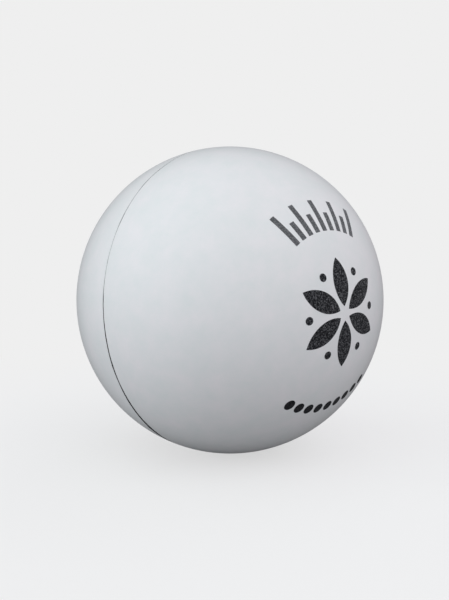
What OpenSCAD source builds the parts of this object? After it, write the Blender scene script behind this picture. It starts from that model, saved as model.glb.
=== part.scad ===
// Squash ball in white rubber for glass courts.
// Two moulded half shells are cemented edge to edge round a sealed air space, buffed to a matt
// finish and pad printed on one pole. The centre of the ball is the origin, the seam stands in
// the XZ plane, and the printed half faces -Y.

/* [Ball] */
// Outside diameter of the ball
ball_d = 40; // [30:0.5:60]
// Thickness of the rubber wall
wall_t = 5.2; // [3:0.1:8]

/* [Seam] */
// Thickness of the cement film between the two halves
film_t = 0.1; // [0.05:0.01:0.3]
// How far below the surface of the ball the cement film stops
groove_depth = 0.08; // [0.04:0.01:0.3]
// Width of one half's broken edge, which opens the seam into a groove
edge_break = 0.05; // [0.02:0.01:0.3]
// Radius of the bead of cement that is squeezed out inside the ball
bead_r = 0.4; // [0.2:0.05:0.8]

/* [Print] */
// Thickness of the printed ink
ink_t = 0.04; // [0.02:0.01:0.1]
// How far the print is turned anticlockwise about its own centre, in degrees
print_turn = 7.5; // [-180:0.5:180]
// How far the centre of the print lies from the pole towards -X, in degrees
print_swing = 6.5; // [-20:0.5:20]
// How far the centre of the print lies below the pole, in degrees
print_drop = 1.5; // [-20:0.5:20]

/* [Upper bars] */
// Number of upright bars in the upper arc of the print, where every second one is short
bar_count = 9; // [3:2:11]
// Radius of the arc on which the bars stand, seen square on
bar_foot_r = 9; // [8:0.1:10]
// Height of a long bar
bar_long = 3.4; // [1:0.1:4]
// Height of a short bar
bar_short = 2; // [0.5:0.1:4]
// Width of each bar
bar_w = 0.65; // [0.3:0.05:1]
// Angle from one bar to the next, in degrees
bar_pitch = 7; // [7:0.5:12]

/* [Rosette] */
// Number of petals in the rosette in the middle of the print
petal_count = 6; // [3:1:6]
// Radius of the clear spot that the petals point to
petal_start_r = 0.8; // [0.8:0.1:1.5]
// Length of each petal
petal_l = 5.3; // [3:0.1:6]
// Width of each petal in its middle
petal_w = 2.2; // [0.8:0.1:2.2]
// Radius of the circle through the small dots that stand between the petals
between_r = 4.9; // [4:0.1:6]
// Diameter of each of those dots
between_d = 0.9; // [0.4:0.1:1.2]

/* [Lower dots] */
// Number of dots in the lower arc of the print
low_dots = 9; // [3:2:13]
// Radius of the arc through those dots, seen square on
low_arc_r = 11.2; // [8:0.1:12]
// Diameter of each of those dots
low_dot_d = 1.2; // [0.6:0.1:1.2]
// Angle from one dot to the next, in degrees
low_pitch = 8; // [8:0.5:12]

/* [Hidden] */
$fn = 128;

ball_r = ball_d / 2;
cavity_r = ball_r - wall_t;
film_r = ball_r - groove_depth;
// How far cutting shapes run past what they cut
overrun = ball_r / 10;
reach = ball_r + overrun;

rubber_colour = [0.89, 0.90, 0.91];
cement_colour = [0.16, 0.16, 0.17];
grey_ink_colour = [0.34, 0.35, 0.36];
black_ink_colour = [0.13, 0.14, 0.15];

// The V that the broken edges of both halves make, all round the seam
module seam_groove() {
    slope = edge_break / groove_depth;
    film_half = film_t / 2;
    mouth_half = film_half + slope * (groove_depth + overrun);
    rotate([90, 0, 0])
        rotate_extrude()
            polygon([
                [film_r, -film_half],
                [reach, -mouth_half],
                [reach, mouth_half],
                [film_r, film_half]
            ]);
}

// One half of the ball on the -Y side, up to the face that takes the cement
module half_shell() {
    color(rubber_colour)
        difference() {
            sphere(r = ball_r);
            sphere(r = cavity_r);
            translate([-reach, -film_t / 2, -reach])
                cube([2 * reach, 2 * reach, 2 * reach]);
            seam_groove();
        }
}

module printed_half_shell() {
    half_shell();
}

module plain_half_shell() {
    mirror([0, 1, 0])
        half_shell();
}

// The cement film, a flat ring that fills the joint, with the bead that it leaves inside
module seam_cement() {
    color(cement_colour)
        rotate([90, 0, 0])
            union() {
                difference() {
                    cylinder(r = film_r, h = film_t, center = true);
                    cylinder(r = cavity_r - bead_r / 2, h = film_t + overrun, center = true);
                }
                intersection() {
                    rotate_extrude()
                        translate([cavity_r, 0])
                            circle(r = bead_r);
                    sphere(r = cavity_r);
                }
            }
}

// Lays a flat drawing, made as it is seen square on, over the ball as a film of ink
module printed(ink_colour) {
    color(ink_colour)
        intersection() {
            difference() {
                sphere(r = ball_r + ink_t);
                sphere(r = ball_r);
            }
            rotate([print_drop, 0, -print_swing])
                rotate([90, 0, 0])
                    rotate([0, 0, print_turn])
                        linear_extrude(height = reach)
                            children();
        }
}

// The outline that two equal arcs close between two points on the Y axis
module petal(start_r, length, width) {
    arc_r = (length * length + width * width) / (4 * width);
    offset_x = arc_r - width / 2;
    intersection() {
        translate([offset_x, start_r + length / 2])
            circle(r = arc_r);
        translate([-offset_x, start_r + length / 2])
            circle(r = arc_r);
    }
}

module upper_print_bars() {
    middle = (bar_count - 1) / 2;
    printed(grey_ink_colour)
        for (i = [0 : bar_count - 1])
            rotate([0, 0, (middle - i) * bar_pitch])
                translate([-bar_w / 2, bar_foot_r])
                    square([bar_w, i % 2 == 0 ? bar_long : bar_short]);
}

module centre_print_rosette() {
    step = 360 / petal_count;
    printed(black_ink_colour)
        for (i = [0 : petal_count - 1])
            rotate([0, 0, i * step]) {
                petal(petal_start_r, petal_l, petal_w);
                rotate([0, 0, step / 2])
                    translate([0, between_r])
                        circle(d = between_d);
            }
}

module lower_print_dots() {
    middle = (low_dots - 1) / 2;
    printed(black_ink_colour)
        for (i = [0 : low_dots - 1])
            rotate([0, 0, (i - middle) * low_pitch])
                translate([0, -low_arc_r])
                    circle(d = low_dot_d);
}

printed_half_shell();
plain_half_shell();
seam_cement();
upper_print_bars();
centre_print_rosette();
lower_print_dots();
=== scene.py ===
# Squash ball in white rubber: two moulded halves, the cement between them and the print.

import math

import bmesh
import bpy
from mathutils import Matrix, Vector, noise


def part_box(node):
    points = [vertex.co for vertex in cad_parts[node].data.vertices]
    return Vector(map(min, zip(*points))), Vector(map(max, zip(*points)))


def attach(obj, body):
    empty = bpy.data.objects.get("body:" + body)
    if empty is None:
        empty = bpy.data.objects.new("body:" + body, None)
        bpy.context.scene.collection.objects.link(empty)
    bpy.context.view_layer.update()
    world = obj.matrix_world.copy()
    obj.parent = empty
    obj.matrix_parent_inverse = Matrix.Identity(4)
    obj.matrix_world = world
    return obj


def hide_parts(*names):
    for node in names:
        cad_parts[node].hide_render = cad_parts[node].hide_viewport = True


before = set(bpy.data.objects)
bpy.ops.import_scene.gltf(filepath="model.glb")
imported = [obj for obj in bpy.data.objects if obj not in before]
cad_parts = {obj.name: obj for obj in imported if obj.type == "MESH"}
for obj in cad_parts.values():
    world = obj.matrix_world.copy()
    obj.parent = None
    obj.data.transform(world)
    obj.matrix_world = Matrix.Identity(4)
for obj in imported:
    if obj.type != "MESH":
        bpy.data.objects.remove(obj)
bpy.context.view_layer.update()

# Printed half of the ball.
# One of two equal halves, moulded hollow from white rubber. It is cemented to the other half
# edge to edge, and the whole ball is then buffed matt, which breaks the edge of the joint.

shell_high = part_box("printed_half_shell")[1]
ball_r = shell_high.z
wall = 0.0052
cavity_r = ball_r - wall
joint_half = -shell_high.y
groove_depth = 0.00008
lip_r = 0.000012

# How finely the half's profile is cut up, from its pole to the joint and back inside, and how
# finely it is turned round. The shoulder is the stretch next to the lip, and the brow is the
# last face of it.
shoulder = math.radians(1.6)
brow = math.radians(0.04)
face_steps = 58
shoulder_steps = 9
lip_steps = 4
groove_steps = 3
wall_steps = 4
cavity_steps = 36
turn_sectors = 24
sector_steps = 24
merge_reach = 0.0000002

# The joint is pressed all but shut on the high side of the ball and gapes on the low one. Its
# angles run round the ball's Y axis from the horizontal, upwards on the -X side. Each uneven
# spot has an angle, a reach either way and what it adds to half the joint's width. Each stray
# spot has an angle, a reach and how far the joint runs off the middle plane there.
shut_half = 0.000006
gape_half = 0.00013
gape_middle = math.radians(-80)
gape_reach = math.radians(90)
gape_ramp = math.radians(50)
uneven_spots = (
    (64, 5, 0.000021),
    (53.5, 4.5, 0.000035),
    (45, 3.2, 0.000035),
    (36.5, 3.5, 0.00001),
    (30.5, 3.6, 0.000031),
    (25, 3, 0.000008),
    (15, 4, 0.000007),
    (8, 2.5, 0.00001),
    (2, 3.6, 0.000038),
    (-8, 7, 0.000034),
    (-19, 3, 0.000026),
    (-26.5, 3, -0.000026),
    (-34, 4, 0.000015),
    (-41, 3, -0.00001),
    (-52, 10, 0.000165),
    (-68, 9, -0.00013),
    (-118, 7, 0.00003),
    (-150, 5, -0.00003),
    (118, 6, 0.00002),
    (142, 3, 0.00003),
    (171, 4, 0.00002),
)
stray_spots = (
    (57, 7, -0.00015),
    (-10, 9, -0.000065),
    (-26, 8, -0.00005),
    (-60, 16, 0.0004),
    (-130, 20, -0.0001),
    (150, 16, 0.00008),
    (105, 12, -0.00005),
)
off_middle = -0.00001

# Between the spots the joint's width and its line ripple a little all the way round
width_ripple = 0.25
width_ripples = 28
line_ripple = 0.00002
line_ripples = 16

# Reaches to either side of the joint: where its lips draw apart, where the wall goes along with
# its line, and where cement may have soaked into a face that leans more than the slope
pull_reach = 0.0008
stray_reach = 0.0025
smear_reach = 0.0015
joint_face_slope = 0.1
crease = math.radians(40)


def ease(share):
    """Goes from 0 to 1 with no corner at either end."""
    share = min(max(share, 0), 1)
    return share * share * (3 - 2 * share)


def turn_between(angle, other):
    """How far two directions round the ball lie apart, the short way."""
    return abs((angle - other + math.pi) % (2 * math.pi) - math.pi)


def at_spots(spots, angle):
    """What the spots of a list add up to at one place round the seam."""
    total = 0
    for spot, reach, more in spots:
        off_spot = turn_between(angle, math.radians(spot)) / math.radians(reach)
        total += more * math.exp(-(off_spot**2))
    return total


def joint_opening(angle):
    """Half the width of the open joint at one place round the seam."""
    inside = gape_reach - turn_between(angle, gape_middle)
    around = Vector((math.cos(angle), math.sin(angle), 0))
    half = shut_half + (gape_half - shut_half) * ease(inside / gape_ramp)
    half = max(half + at_spots(uneven_spots, angle), shut_half)
    return half * (1 + width_ripple * noise.noise(around * width_ripples))


def joint_middle(angle):
    """How far the joint runs off the middle plane of the ball."""
    around = Vector((math.cos(angle), math.sin(angle), 0.5))
    ripple = line_ripple * noise.noise(around * line_ripples)
    return off_middle + at_spots(stray_spots, angle) + ripple


def spin_on(bm, point, centre, axis, angle, steps):
    """Turns a profile's last point round a centre, and returns the new last point."""
    made = bmesh.ops.spin(bm, geom=[point], cent=centre, axis=axis, angle=angle, steps=steps)
    return made["geom_last"][0]


def draw_on(bm, point, to, steps):
    """Carries a profile on in a straight line, and returns the new last point."""
    step = (Vector(to) - point.co) / steps
    for _ in range(steps):
        made = bmesh.ops.extrude_vert_indiv(bm, verts=[point])
        point = made["verts"][0]
        point.co += step
    return point


def turn_round(bm):
    """Turns a profile round the ball's Y axis into a closed skin, a sector at a time."""
    sector = math.tau / turn_sectors
    bmesh.ops.spin(
        bm,
        geom=bm.verts[:] + bm.edges[:],
        cent=(0, 0, 0),
        axis=(0, 1, 0),
        angle=sector,
        steps=sector_steps,
    )
    bmesh.ops.spin(
        bm,
        geom=bm.verts[:] + bm.edges[:] + bm.faces[:],
        cent=(0, 0, 0),
        axis=(0, 1, 0),
        angle=math.tau - sector,
        steps=turn_sectors - 1,
        use_duplicate=True,
    )
    bmesh.ops.remove_doubles(bm, verts=bm.verts, dist=merge_reach)
    bmesh.ops.recalc_face_normals(bm, faces=bm.faces)


def half_profile(bm):
    """Half a section through the half shell on the -Y side, from pole to pole."""
    lip_centre = Vector((0, -joint_half - lip_r, 0))
    lip_centre.x = math.sqrt((ball_r - lip_r) ** 2 - lip_centre.y**2)
    lip_angle = math.atan2(lip_centre.x, -lip_centre.y)
    z_axis = (0, 0, 1)
    middle = (0, 0, 0)
    point = bm.verts.new((0, -ball_r, 0))
    point = spin_on(bm, point, middle, z_axis, lip_angle - shoulder, face_steps)
    point = spin_on(bm, point, middle, z_axis, shoulder - brow, shoulder_steps)
    point = spin_on(bm, point, middle, z_axis, brow, 1)
    point = spin_on(bm, point, lip_centre, z_axis, math.pi - lip_angle, lip_steps)
    point = draw_on(bm, point, (ball_r - groove_depth, -joint_half, 0), groove_steps)
    rim_x = math.sqrt(cavity_r**2 - joint_half**2)
    point = draw_on(bm, point, (rim_x, -joint_half, 0), wall_steps)
    inner_angle = math.atan2(rim_x, joint_half)
    spin_on(bm, point, middle, z_axis, -inner_angle, cavity_steps)


def settle_joint(bm):
    """Moves a piece's share of the joint to where it runs, and the lips apart where it gapes."""
    for vert in bm.verts:
        radius = vert.co.length
        depth = ball_r - radius
        off_joint = max(abs(vert.co.y) - joint_half, 0)
        if off_joint > stray_reach:
            continue
        angle = math.atan2(vert.co.z, -vert.co.x)
        lip_share = (1 - ease(off_joint / pull_reach)) * (1 - ease(depth / groove_depth))
        pull = (joint_half - joint_opening(angle)) * math.copysign(1, vert.co.y)
        stray = joint_middle(angle) * (1 - ease(off_joint / stray_reach))
        vert.co.y += stray - pull * lip_share
        vert.co *= radius / vert.co.length


def smear_joint(bm):
    """Gives the faces that were glued the cement's finish, where it has soaked in."""
    bmesh.ops.recalc_face_normals(bm, faces=bm.faces)
    for face in bm.faces:
        near = abs(face.calc_center_median().y) < smear_reach
        if near and abs(face.normal.y) > joint_face_slope:
            face.material_index = 1


# Buffed rubber is a cool white with faint warmer clouds, and grime gathers along the joint
cool_white = (0.89, 0.918, 0.913, 1)
warm_white = (0.96, 0.946, 0.953, 1)
bloom_tint = (0.88, 0.88, 0.88, 1)
cloud_scale = 400
grain_scale = 5000
grain_height = 0.00001
grime = (0.12, 0.12, 0.13, 1)
grime_share = 0.02
grime_full = 0.00005
grime_gone = 0.0004


def white_rubber():
    """Buffed white rubber: an even matt grain, faint clouds, and grime along the joint."""
    material = bpy.data.materials.new("buffed_white_rubber")
    material.use_nodes = True
    nodes = material.node_tree.nodes
    links = material.node_tree.links
    shader = nodes["Principled BSDF"]
    shader.inputs["Roughness"].default_value = 0.75
    shader.inputs["Specular IOR Level"].default_value = 0.04
    # The bloom: a thin dull film that greys the ball where it is seen at a slant
    shader.inputs["Coat Weight"].default_value = 1
    shader.inputs["Coat Roughness"].default_value = 0.9
    shader.inputs["Coat IOR"].default_value = 1.02
    shader.inputs["Coat Tint"].default_value = bloom_tint

    place = nodes.new("ShaderNodeTexCoord")
    clouds = nodes.new("ShaderNodeTexNoise")
    clouds.inputs["Scale"].default_value = cloud_scale
    clouds.inputs["Detail"].default_value = 5
    clouds.inputs["Roughness"].default_value = 0.65
    patchy = nodes.new("ShaderNodeMapRange")
    patchy.inputs["From Min"].default_value = 0.3
    patchy.inputs["From Max"].default_value = 0.7
    tint = nodes.new("ShaderNodeMix")
    tint.data_type = "RGBA"
    tint.inputs["A"].default_value = cool_white
    tint.inputs["B"].default_value = warm_white
    links.new(place.outputs["Object"], clouds.inputs["Vector"])
    links.new(clouds.outputs["Fac"], patchy.inputs["Value"])
    links.new(patchy.outputs["Result"], tint.inputs["Factor"])

    # Grime: strongest at the ball's middle plane, where the joint runs, and soon gone
    apart = nodes.new("ShaderNodeSeparateXYZ")
    off_joint = nodes.new("ShaderNodeMath")
    off_joint.operation = "ABSOLUTE"
    near = nodes.new("ShaderNodeMapRange")
    near.interpolation_type = "SMOOTHSTEP"
    near.inputs["From Min"].default_value = grime_gone
    near.inputs["From Max"].default_value = grime_full
    near.inputs["To Max"].default_value = grime_share
    grimy = nodes.new("ShaderNodeMix")
    grimy.data_type = "RGBA"
    grimy.inputs["B"].default_value = grime
    links.new(place.outputs["Object"], apart.inputs["Vector"])
    links.new(apart.outputs["Y"], off_joint.inputs[0])
    links.new(off_joint.outputs["Value"], near.inputs["Value"])
    links.new(near.outputs["Result"], grimy.inputs["Factor"])
    links.new(tint.outputs["Result"], grimy.inputs["A"])
    links.new(grimy.outputs["Result"], shader.inputs["Base Color"])

    grain = nodes.new("ShaderNodeTexNoise")
    grain.inputs["Scale"].default_value = grain_scale
    grain.inputs["Detail"].default_value = 2
    bump = nodes.new("ShaderNodeBump")
    bump.inputs["Strength"].default_value = 0.35
    bump.inputs["Distance"].default_value = grain_height
    links.new(place.outputs["Object"], grain.inputs["Vector"])
    links.new(grain.outputs["Fac"], bump.inputs["Height"])
    links.new(bump.outputs["Normal"], shader.inputs["Normal"])
    return material


cement_black = (0.012, 0.012, 0.013, 1)
cement_grey = (0.035, 0.035, 0.037, 1)
cement_scale = 2500
cement_height = 0.00001


def dark_cement():
    """Dried rubber cement, near black, with a slightly grainy dull skin."""
    material = bpy.data.materials.new("dark_rubber_cement")
    material.use_nodes = True
    nodes = material.node_tree.nodes
    links = material.node_tree.links
    shader = nodes["Principled BSDF"]
    shader.inputs["Roughness"].default_value = 0.9
    shader.inputs["Specular IOR Level"].default_value = 0.02
    place = nodes.new("ShaderNodeTexCoord")
    grain = nodes.new("ShaderNodeTexNoise")
    grain.inputs["Scale"].default_value = cement_scale
    tint = nodes.new("ShaderNodeMix")
    tint.data_type = "RGBA"
    tint.inputs["A"].default_value = cement_black
    tint.inputs["B"].default_value = cement_grey
    bump = nodes.new("ShaderNodeBump")
    bump.inputs["Strength"].default_value = 0.4
    bump.inputs["Distance"].default_value = cement_height
    links.new(place.outputs["Object"], grain.inputs["Vector"])
    links.new(grain.outputs["Fac"], tint.inputs["Factor"])
    links.new(tint.outputs["Result"], shader.inputs["Base Color"])
    links.new(grain.outputs["Fac"], bump.inputs["Height"])
    links.new(bump.outputs["Normal"], shader.inputs["Normal"])
    return material


def fit_piece(bm, name, node, slot, *materials):
    """Makes a finished mesh the piece that stands for one node of the ball."""
    mesh = bpy.data.meshes.new(name)
    bm.to_mesh(mesh)
    bm.free()
    mesh.shade_smooth()
    mesh.set_sharp_from_angle(angle=crease)
    for material in materials:
        mesh.materials.append(material)
    piece = bpy.data.objects.new(name, mesh)
    bpy.context.scene.collection.objects.link(piece)
    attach(piece, "root")
    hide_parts(node)


rubber = white_rubber()
cement = dark_cement()
printed_half = bmesh.new()
half_profile(printed_half)
turn_round(printed_half)
settle_joint(printed_half)
smear_joint(printed_half)
fit_piece(printed_half, "printed_half", "printed_half_shell", "white_rubber", rubber, cement)

# Plain half of the ball.
# The same moulding turned round, with nothing printed on it. The joint follows one line on
# both halves, because they were pressed and buffed together.

plain_half = bmesh.new()
half_profile(plain_half)
bmesh.ops.scale(plain_half, vec=(1, -1, 1), verts=plain_half.verts)
turn_round(plain_half)
settle_joint(plain_half)
smear_joint(plain_half)
fit_piece(plain_half, "plain_half", "plain_half_shell", "white_rubber", rubber, cement)

# Cement between the halves.
# A dark rubber cement that fills the joint, a little sunk below the buffed surface. What was
# squeezed out inwards has set as a rounded bead round the inside of the ball.

cement_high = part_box("seam_cement")[1]
cement_r = cement_high.z
cement_half = joint_half
bead_r = cement_high.y
meniscus = 0.000012
skin_steps = 6
side_steps = 3
shelf_steps = 2
bead_steps = 16


def cement_profile(bm):
    """Half a section through the ring: the hollow outer skin, both sides and the bead."""
    hollow_r = (cement_half**2 + meniscus**2) / (2 * meniscus)
    hollow_centre = Vector((cement_r + hollow_r - meniscus, 0, 0))
    half_angle = math.asin(cement_half / hollow_r)
    first = bm.verts.new((cement_r, -cement_half, 0))
    point = spin_on(bm, first, hollow_centre, (0, 0, 1), -2 * half_angle, skin_steps)
    wall_x = math.sqrt(cavity_r**2 - bead_r**2)
    point = draw_on(bm, point, (cavity_r, cement_half, 0), side_steps)
    point = draw_on(bm, point, (wall_x, bead_r, 0), shelf_steps)
    point = spin_on(bm, point, (wall_x, 0, 0), (0, 0, 1), math.pi, bead_steps)
    point = draw_on(bm, point, (cavity_r, -cement_half, 0), shelf_steps)
    draw_on(bm, point, first.co, side_steps)


ring = bmesh.new()
cement_profile(ring)
turn_round(ring)
settle_joint(ring)
fit_piece(ring, "cement_ring", "seam_cement", "rubber_cement", cement)

# Upper bars of the print.
# A thin film of dark grey ink, pad printed square on to the ball's pole: a row of upright
# bars on an arc, every second one short. The buffed rubber under it shows as a fine mottle.

ink_t = 0.000012
print_turn = math.radians(7.5)
print_swing = math.radians(6.5)
print_drop = math.radians(1.5)
bar_count = 9
bar_foot_r = 0.009
bar_long = 0.0034
bar_short = 0.002
bar_w = 0.00065
bar_pitch = math.radians(7)
corner_r = 0.00005
corner_steps = 3
bar_columns = 4
rows_per_width = 8
ragged = 0.00001
ragged_waves = 6000
ragged_sideways = Vector((0, 0, 0.01))


def cut_up(bm, low, high, axis, pieces):
    """Cuts a flat shape into even strips, so that it can follow the ball."""
    for i in range(1, pieces):
        at = Vector((0, 0, 0))
        at[axis] = low + (high - low) * i / pieces
        across = Vector((0, 0, 0))
        across[axis] = 1
        everything = bm.verts[:] + bm.edges[:] + bm.faces[:]
        bmesh.ops.bisect_plane(bm, geom=everything, plane_co=at, plane_no=across)


def fray(bm):
    """Moves the edge of the flat shapes in and out, as ink spreads on grained rubber."""
    for vert in bm.verts:
        if vert.is_boundary:
            vert.co.x += ragged * noise.noise(vert.co * ragged_waves)
            vert.co.y += ragged * noise.noise((vert.co + ragged_sideways) * ragged_waves)


def press_on(bm):
    """Lays flat shapes, drawn as they are seen square on, over the ball as a film of ink."""
    fray(bm)
    over = bmesh.ops.extrude_face_region(bm, geom=bm.faces[:])
    raised = {item for item in over["geom"] if isinstance(item, bmesh.types.BMVert)}
    for vert in bm.verts:
        radius = ball_r + (ink_t if vert in raised else 0)
        flat = vert.co.xy * (radius / ball_r)
        vert.co = (flat.x, flat.y, math.sqrt(radius**2 - flat.length_squared))
    bmesh.ops.recalc_face_normals(bm, faces=bm.faces)
    to_pole = Matrix.Rotation(math.pi / 2, 4, "X") @ Matrix.Rotation(print_turn, 4, "Z")
    off_pole = Matrix.Rotation(-print_swing, 4, "Z") @ Matrix.Rotation(print_drop, 4, "X")
    bmesh.ops.transform(bm, matrix=off_pole @ to_pole, verts=bm.verts)


pit_scale = 6000
pit_edge = 0.455
pit_middle = 0.8
ink_grain = 0.00001
ink_grey = (0.093, 0.0945, 0.099)
fleck_grey = (0.25, 0.255, 0.265)


def printed_ink(name, colour, fleck_colour, fleck_share):
    """A thin matt ink film over grained rubber, with small flecks where it missed a pit."""
    material = bpy.data.materials.new(name)
    material.use_nodes = True
    nodes = material.node_tree.nodes
    links = material.node_tree.links
    shader = nodes["Principled BSDF"]
    shader.inputs["Roughness"].default_value = 0.8
    shader.inputs["Specular IOR Level"].default_value = 0.06
    place = nodes.new("ShaderNodeTexCoord")
    pits = nodes.new("ShaderNodeTexNoise")
    pits.inputs["Scale"].default_value = pit_scale
    pits.inputs["Detail"].default_value = 2
    pits.inputs["Roughness"].default_value = 0.5
    missed = nodes.new("ShaderNodeMapRange")
    missed.inputs["From Min"].default_value = pit_edge
    missed.inputs["From Max"].default_value = pit_middle
    missed.inputs["To Max"].default_value = fleck_share
    tint = nodes.new("ShaderNodeMix")
    tint.data_type = "RGBA"
    tint.inputs["A"].default_value = (*colour, 1)
    tint.inputs["B"].default_value = (*fleck_colour, 1)
    bump = nodes.new("ShaderNodeBump")
    bump.inputs["Strength"].default_value = 0.3
    bump.inputs["Distance"].default_value = ink_grain
    links.new(place.outputs["Object"], pits.inputs["Vector"])
    links.new(pits.outputs["Fac"], missed.inputs["Value"])
    links.new(missed.outputs["Result"], tint.inputs["Factor"])
    links.new(tint.outputs["Result"], shader.inputs["Base Color"])
    links.new(pits.outputs["Fac"], bump.inputs["Height"])
    links.new(bump.outputs["Normal"], shader.inputs["Normal"])
    return material


def add_bar(bm, height, turn):
    """One upright bar with softened corners, turned to its place on the arc."""
    bar = bmesh.new()
    upright = Matrix.Diagonal((bar_w / 2, height / 2, 1, 1))
    seat = Matrix.Translation((0, bar_foot_r + height / 2, 0))
    bmesh.ops.create_grid(bar, x_segments=1, y_segments=1, size=1, matrix=seat @ upright)
    bmesh.ops.bevel(
        bar,
        geom=bar.verts[:],
        offset=corner_r,
        affect="VERTICES",
        segments=corner_steps,
        profile=0.5,
        material=-1,
    )
    cut_up(bar, bar_foot_r, bar_foot_r + height, 1, round(height / bar_w * rows_per_width))
    cut_up(bar, -bar_w / 2, bar_w / 2, 0, bar_columns)
    bmesh.ops.rotate(bar, cent=(0, 0, 0), matrix=Matrix.Rotation(turn, 3, "Z"), verts=bar.verts)
    spare = bpy.data.meshes.new("bar")
    bar.to_mesh(spare)
    bar.free()
    bm.from_mesh(spare)
    bpy.data.meshes.remove(spare)


grey_ink = printed_ink("grey_print_ink", ink_grey, fleck_grey, 1)
bars = bmesh.new()
for i in range(bar_count):
    bar_turn = ((bar_count - 1) / 2 - i) * bar_pitch
    add_bar(bars, bar_long if i % 2 == 0 else bar_short, bar_turn)
press_on(bars)
fit_piece(bars, "upper_bars", "upper_print_bars", "grey_ink", grey_ink)

# Rosette in the middle of the print.
# Six pointed petals round a clear spot, with a small dot between each two. They are printed in
# black ink, a film as thin as the bars', and small flecks stay open where it missed a pit.

petal_count = 6
petal_start_r = 0.0008
petal_l = 0.0053
petal_w = 0.0022
between_r = 0.0049
between_d = 0.0009
petal_rows = 96
petal_columns = 10
petal_merge = 0.000002
dot_segments = 40
dot_rings = 3
ink_black = (0.0105, 0.011, 0.013)
fleck_dark = (0.17, 0.173, 0.182)


def add_petal(bm, turn):
    """One petal between two equal arcs, as a grid drawn in to its two points."""
    arc_r = (petal_l**2 + petal_w**2) / (4 * petal_w)
    grid = bmesh.ops.create_grid(bm, x_segments=petal_columns, y_segments=petal_rows, size=1)
    for vert in grid["verts"]:
        along = vert.co.y * petal_l / 2
        half_w = math.sqrt(max(arc_r**2 - along**2, 0)) - (arc_r - petal_w / 2)
        vert.co = (vert.co.x * half_w, petal_start_r + petal_l / 2 + along, 0)
    bmesh.ops.remove_doubles(bm, verts=grid["verts"], dist=petal_merge)
    mine = [vert for vert in grid["verts"] if vert.is_valid]
    bmesh.ops.rotate(bm, cent=(0, 0, 0), matrix=Matrix.Rotation(turn, 3, "Z"), verts=mine)


def add_dot(bm, diameter, centre):
    """One round dot: rings of faces that grow from its middle."""
    rim = bmesh.ops.create_circle(
        bm,
        cap_ends=True,
        segments=dot_segments,
        radius=diameter / 2,
        matrix=Matrix.Translation(centre),
    )
    faces = list({face for vert in rim["verts"] for face in vert.link_faces})
    ring_w = diameter / (3 * dot_rings)
    for _ in range(dot_rings):
        bmesh.ops.inset_region(bm, faces=faces, thickness=ring_w, use_even_offset=True)


black_ink = printed_ink("black_print_ink", ink_black, fleck_dark, 0.95)
rosette = bmesh.new()
petal_step = math.tau / petal_count
for i in range(petal_count):
    add_petal(rosette, i * petal_step)
    between = Matrix.Rotation((i + 0.5) * petal_step, 3, "Z") @ Vector((0, between_r, 0))
    add_dot(rosette, between_d, between)
press_on(rosette)
fit_piece(rosette, "rosette", "centre_print_rosette", "black_ink", black_ink)

# Lower dots of the print.
# A row of round dots on an arc below the rosette, printed in the same black ink. The ink is
# laid on thicker here, so that it covers nearly every pit.

low_dots = 9
low_arc_r = 0.0112
low_dot_d = 0.0012
low_pitch = math.radians(8)
thick_black = (0.008, 0.0085, 0.01)
fleck_black = (0.07, 0.07, 0.075)

dots = bmesh.new()
for i in range(low_dots):
    low_turn = (i - (low_dots - 1) / 2) * low_pitch
    add_dot(dots, low_dot_d, Matrix.Rotation(low_turn, 3, "Z") @ Vector((0, -low_arc_r, 0)))
press_on(dots)
thick_ink = printed_ink("thick_black_print_ink", thick_black, fleck_black, 0.6)
fit_piece(dots, "lower_dots", "lower_print_dots", "black_ink", thick_ink)

# Floor and backdrop.
# A pale sheet that the ball lies on, which runs out into a backdrop of the same grey. Only a
# faint shade of the ball falls on it.

backdrop_grey = (0.863, 0.863, 0.863, 1)
sheet_grey = (0.86, 0.86, 0.86, 1)
floor_half = 1.5
shade_share = 0.3
shade_full = 1.5 * ball_r
shade_gone = 5 * ball_r
near_albedo = 0.48
far_albedo = 0.37
albedo_near = 0.9 * ball_r
albedo_far = 1.9 * ball_r
room_tint = (0.98, 0.94, 1, 1)
room_strength = 0.52


def seen_directly(nodes, links):
    """1 for what the camera sees itself, in a gloss or through glass, and 0 for other light."""
    path = nodes.new("ShaderNodeLightPath")
    with_gloss = nodes.new("ShaderNodeMath")
    with_gloss.operation = "MAXIMUM"
    with_glass = nodes.new("ShaderNodeMath")
    with_glass.operation = "MAXIMUM"
    links.new(path.outputs["Is Camera Ray"], with_gloss.inputs[0])
    links.new(path.outputs["Is Glossy Ray"], with_gloss.inputs[1])
    links.new(with_gloss.outputs["Value"], with_glass.inputs[0])
    links.new(path.outputs["Is Transmission Ray"], with_glass.inputs[1])
    return with_glass.outputs["Value"]


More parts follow.
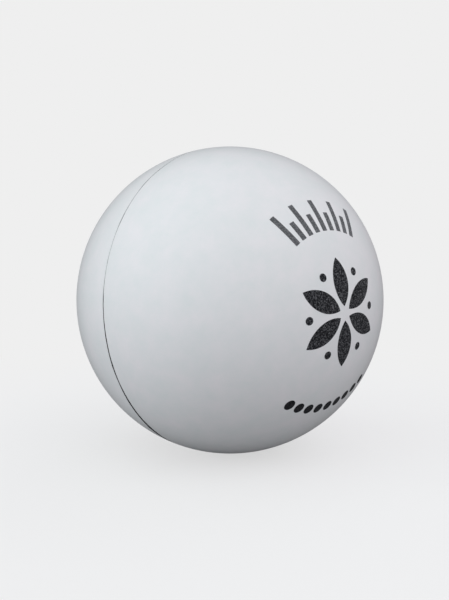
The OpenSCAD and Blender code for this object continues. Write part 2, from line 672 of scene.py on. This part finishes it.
def pale_sheet():
    """Even grey to the eye with a share of real shade in it, and a darker sheet to the lamps."""
    material = bpy.data.materials.new("pale_sheet")
    material.use_nodes = True
    nodes = material.node_tree.nodes
    links = material.node_tree.links
    nodes.remove(nodes["Principled BSDF"])
    out = nodes["Material Output"]
    even = nodes.new("ShaderNodeEmission")
    even.inputs["Color"].default_value = backdrop_grey
    shaded = nodes.new("ShaderNodeBsdfDiffuse")
    shaded.inputs["Color"].default_value = sheet_grey
    lamp_side = nodes.new("ShaderNodeBsdfDiffuse")

    place = nodes.new("ShaderNodeTexCoord")
    away = nodes.new("ShaderNodeVectorMath")
    away.operation = "LENGTH"
    fade = nodes.new("ShaderNodeMapRange")
    fade.interpolation_type = "SMOOTHSTEP"
    fade.inputs["From Min"].default_value = shade_full
    fade.inputs["From Max"].default_value = shade_gone
    fade.inputs["To Min"].default_value = shade_share
    fade.inputs["To Max"].default_value = 0
    links.new(place.outputs["Object"], away.inputs[0])
    links.new(away.outputs["Value"], fade.inputs["Value"])

    # The sheet gives more light back close to the ball, where nothing but the ball is near it
    close = nodes.new("ShaderNodeMapRange")
    close.interpolation_type = "SMOOTHSTEP"
    close.inputs["From Min"].default_value = albedo_near
    close.inputs["From Max"].default_value = albedo_far
    close.inputs["To Min"].default_value = near_albedo
    close.inputs["To Max"].default_value = far_albedo
    links.new(away.outputs["Value"], close.inputs["Value"])
    links.new(close.outputs["Result"], lamp_side.inputs["Color"])

    to_eye = nodes.new("ShaderNodeMixShader")
    links.new(fade.outputs["Result"], to_eye.inputs["Fac"])
    links.new(even.outputs["Emission"], to_eye.inputs[1])
    links.new(shaded.outputs["BSDF"], to_eye.inputs[2])
    by_ray = nodes.new("ShaderNodeMixShader")
    links.new(seen_directly(nodes, links), by_ray.inputs["Fac"])
    links.new(lamp_side.outputs["BSDF"], by_ray.inputs[1])
    links.new(to_eye.outputs["Shader"], by_ray.inputs[2])
    links.new(by_ray.outputs["Shader"], out.inputs["Surface"])
    return material


sheet = bmesh.new()
bmesh.ops.create_grid(sheet, x_segments=2, y_segments=2, size=floor_half)
bmesh.ops.translate(sheet, vec=(0, 0, -ball_r), verts=sheet.verts)
floor_mesh = bpy.data.meshes.new("floor")
sheet.to_mesh(floor_mesh)
sheet.free()
floor_mesh.materials.append(pale_sheet())
floor = bpy.data.objects.new("floor", floor_mesh)
bpy.context.scene.collection.objects.link(floor)

backdrop = bpy.data.worlds.new("backdrop")
bpy.context.scene.world = backdrop
backdrop.use_nodes = True
sky_nodes = backdrop.node_tree.nodes
sky_links = backdrop.node_tree.links
room_light = sky_nodes["Background"]
room_light.inputs["Color"].default_value = room_tint
room_light.inputs["Strength"].default_value = room_strength
plain_grey = sky_nodes.new("ShaderNodeBackground")
plain_grey.inputs["Color"].default_value = backdrop_grey
by_ray = sky_nodes.new("ShaderNodeMixShader")
sky_links.new(seen_directly(sky_nodes, sky_links), by_ray.inputs["Fac"])
sky_links.new(room_light.outputs["Background"], by_ray.inputs[1])
sky_links.new(plain_grey.outputs["Background"], by_ray.inputs[2])
sky_links.new(by_ray.outputs["Shader"], sky_nodes["World Output"].inputs["Surface"])

# Camera.
# Close to the ball, level with its upper half, and looking halfway between the pole with the
# print and the seam. The ball lies a little right of the middle of the picture.

camera_way = Vector((-0.7092, -0.7024, 0.0594)).normalized()
camera_distance = 0.0816
aim_left = 0.000695
lens_mm = 36.45

eye = bpy.data.cameras.new("camera")
eye.lens = lens_mm
eye.clip_start = 0.001
eye.clip_end = 10
camera = bpy.data.objects.new("camera", eye)
bpy.context.scene.collection.objects.link(camera)
to_the_left = camera_way.cross(Vector((0, 0, 1))).normalized()
camera.location = camera_way * camera_distance
aim = to_the_left * aim_left - camera.location
camera.rotation_euler = aim.to_track_quat("-Z", "Y").to_euler()
bpy.context.scene.camera = camera

# Lamps.
# Large soft boxes: the key above and to the right of the camera, others at both sides, and one
# behind the ball that catches its far edge.

lamp_distance = 0.6
camera_heading = math.atan2(camera_way.x, -camera_way.y)


def hang_lamp(name, right, up, size, power, colour):
    """A square soft box, placed by its angles to the right of and above the camera's line."""
    soft_box = bpy.data.lights.new(name, "AREA")
    soft_box.size = size
    soft_box.energy = power
    soft_box.color = colour
    lamp = bpy.data.objects.new(name, soft_box)
    bpy.context.scene.collection.objects.link(lamp)
    heading = camera_heading + math.radians(right)
    rise = math.radians(up)
    lamp.location = lamp_distance * Vector((
        math.sin(heading) * math.cos(rise),
        -math.cos(heading) * math.cos(rise),
        math.sin(rise),
    ))
    lamp.rotation_euler = (-lamp.location).to_track_quat("-Z", "Y").to_euler()
    lamp.visible_camera = False


hang_lamp("key_lamp", 30, 45, 0.5, 1.035, (0.93, 0.965, 1))
hang_lamp("side_lamp", -60, 15, 0.3, 0.875, (0.885, 0.94, 1))
hang_lamp("right_lamp", 90, 22, 0.45, 0.78, (0.985, 0.96, 1))
hang_lamp("high_lamp", -45, 60, 0.5, 0.585, (0.75, 1, 0.9))
hang_lamp("left_lamp", -90, 10, 0.2, 0.8, (0.93, 0.97, 1))
hang_lamp("back_lamp", 140, 45, 0.5, 0.585, (0.87, 0.89, 1))

view_settings = bpy.context.scene.view_settings
view_settings.view_transform = "Standard"
